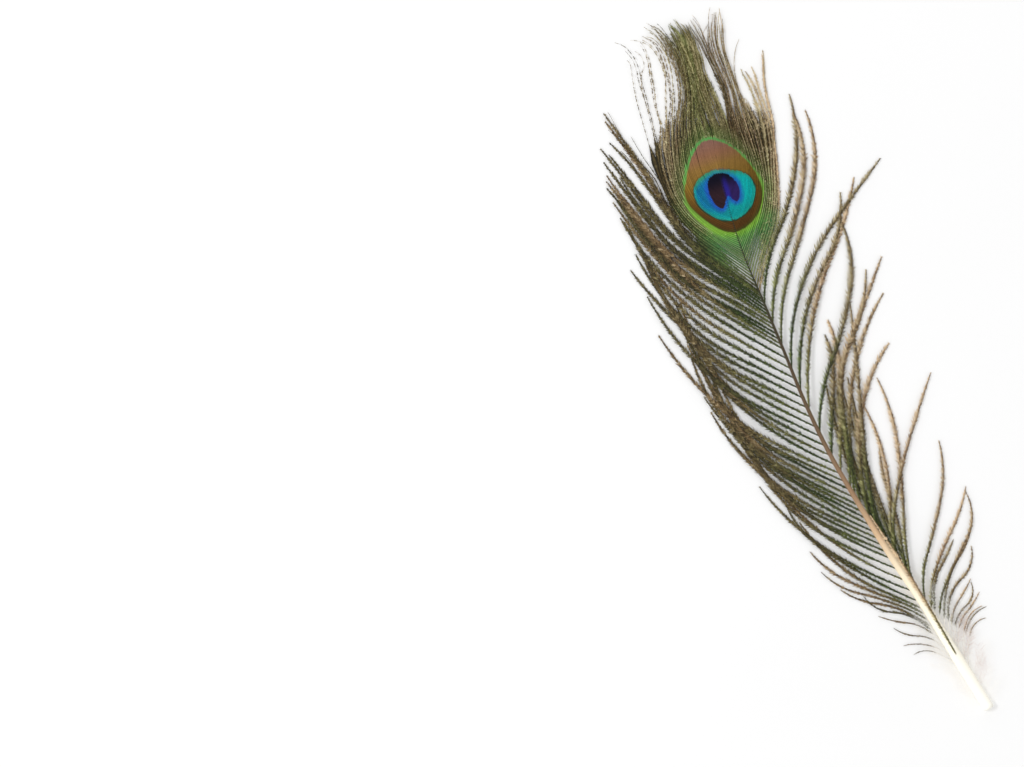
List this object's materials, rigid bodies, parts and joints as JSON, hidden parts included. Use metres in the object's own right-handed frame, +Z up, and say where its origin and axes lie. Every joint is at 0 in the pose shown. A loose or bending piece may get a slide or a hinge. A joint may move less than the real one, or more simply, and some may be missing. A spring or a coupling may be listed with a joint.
{
  "type": "peacock eye feather",
  "caption": "Natural tail feather with a blue and green eye in a closed vane, a ragged fringe, loose barbs and a bare cut quill, lying flat.",
  "frame": {"origin": "on the surface it lies on, under the middle of the feather's bounding box", "axes": "+Y from the cut quill to the fringe, +X to the right of the eye as seen from above, +Z up from the surface"},
  "size_m": [0.1051, 0.29, 0.0059],
  "materials": {
    "barbs": "olive and bronze barbs with a soft metallic sheen",
    "eye": "structural blue, turquoise and bronze in smooth zones",
    "quill": "cream horn, satin, browner towards the eye",
    "down": "white down at the foot of the vane"
  },
  "bodies": {
    "root": {"peacock_feather": "barbs"}
  },
  "joints": []
}
